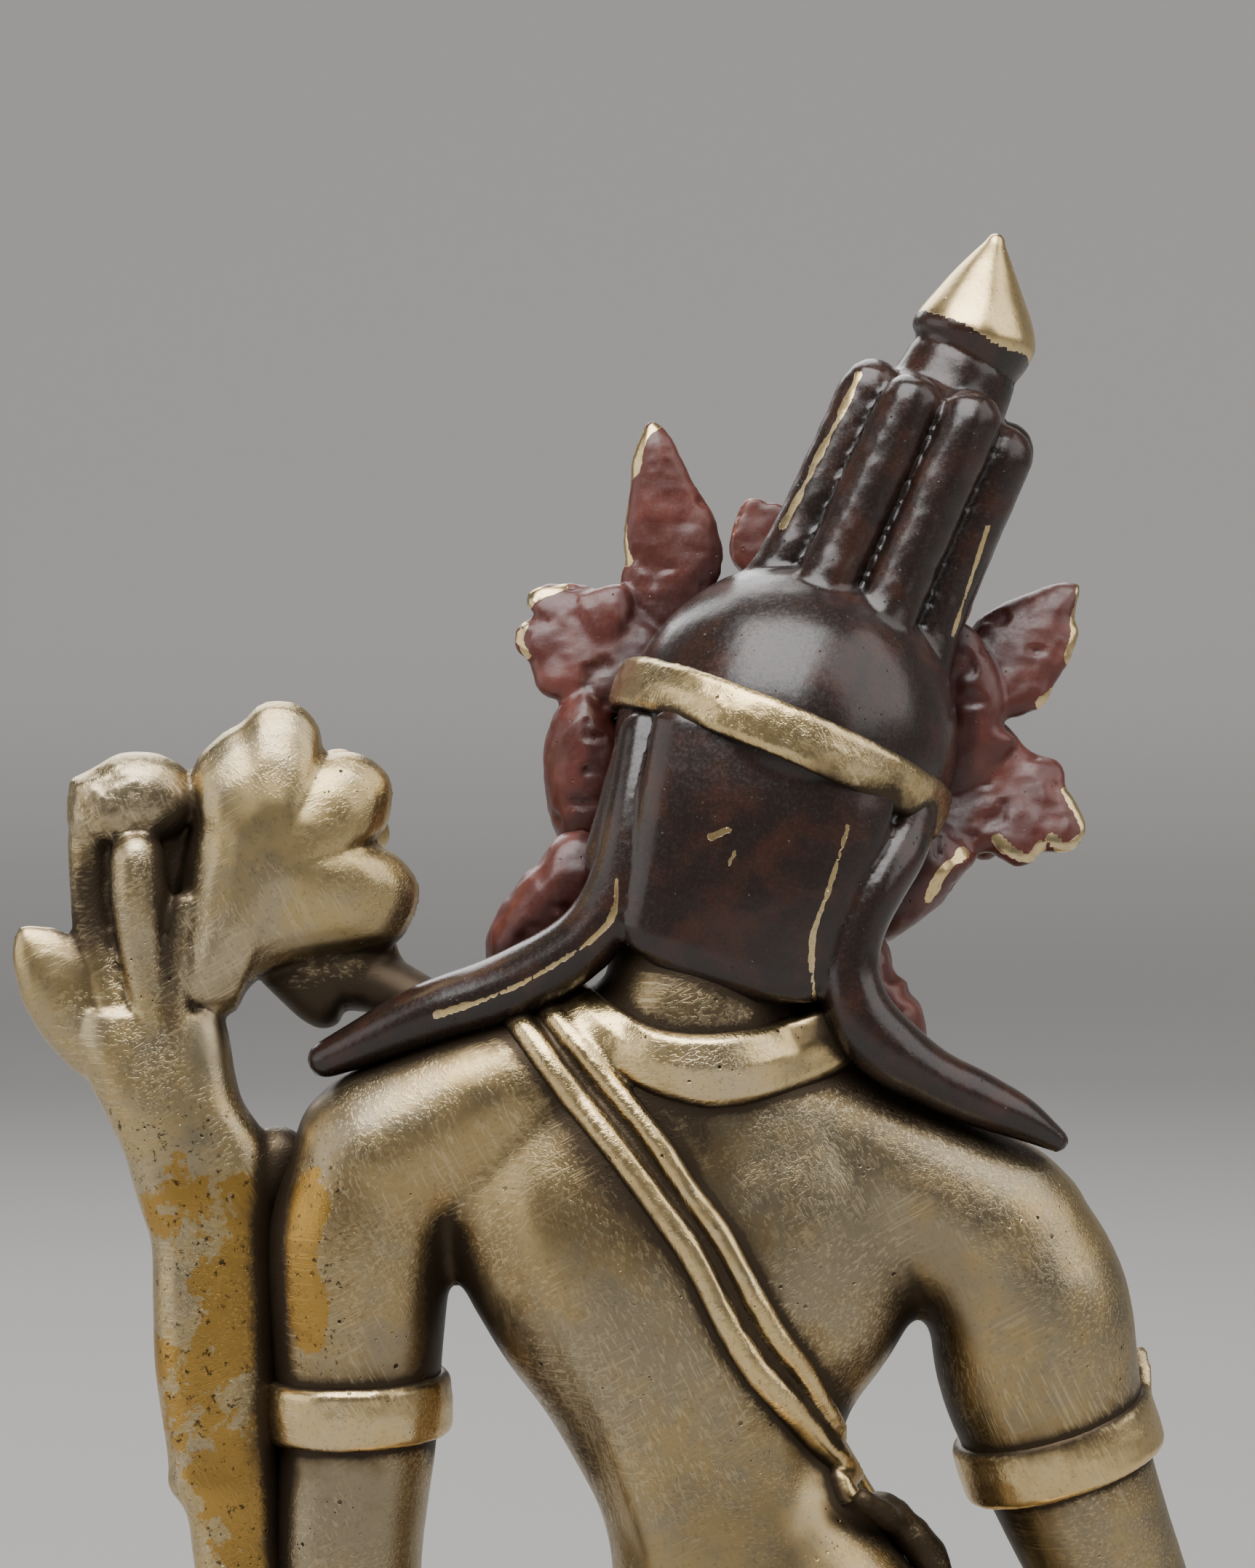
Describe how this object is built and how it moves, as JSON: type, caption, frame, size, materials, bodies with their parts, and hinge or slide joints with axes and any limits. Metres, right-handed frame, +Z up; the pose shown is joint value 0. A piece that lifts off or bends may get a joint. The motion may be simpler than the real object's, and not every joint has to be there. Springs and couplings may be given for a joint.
{
  "type": "padmapani statue",
  "caption": "Cast brass seated bodhisattva with a leaf crown and tall topknot, leaning on one arm beside a lotus plant, on an oval lotus base.",
  "frame": {"origin": "on the ground, under the middle of the oval base's underside", "axes": "+Z up; the figure faces -Y and its left side, with the lotus plant, is +X"},
  "size_m": [0.1496, 0.106, 0.2129],
  "materials": {
    "figure_brass": "aged grey-gold brass with dark patina in its hollows, dark brown painted hair and red-brown painted crown backs",
    "base_brass": "aged grey-gold brass with dark patina between its petals"
  },
  "bodies": {
    "root": {"padmapani_figure": "figure_brass", "lotus_base": "base_brass"}
  },
  "joints": []
}
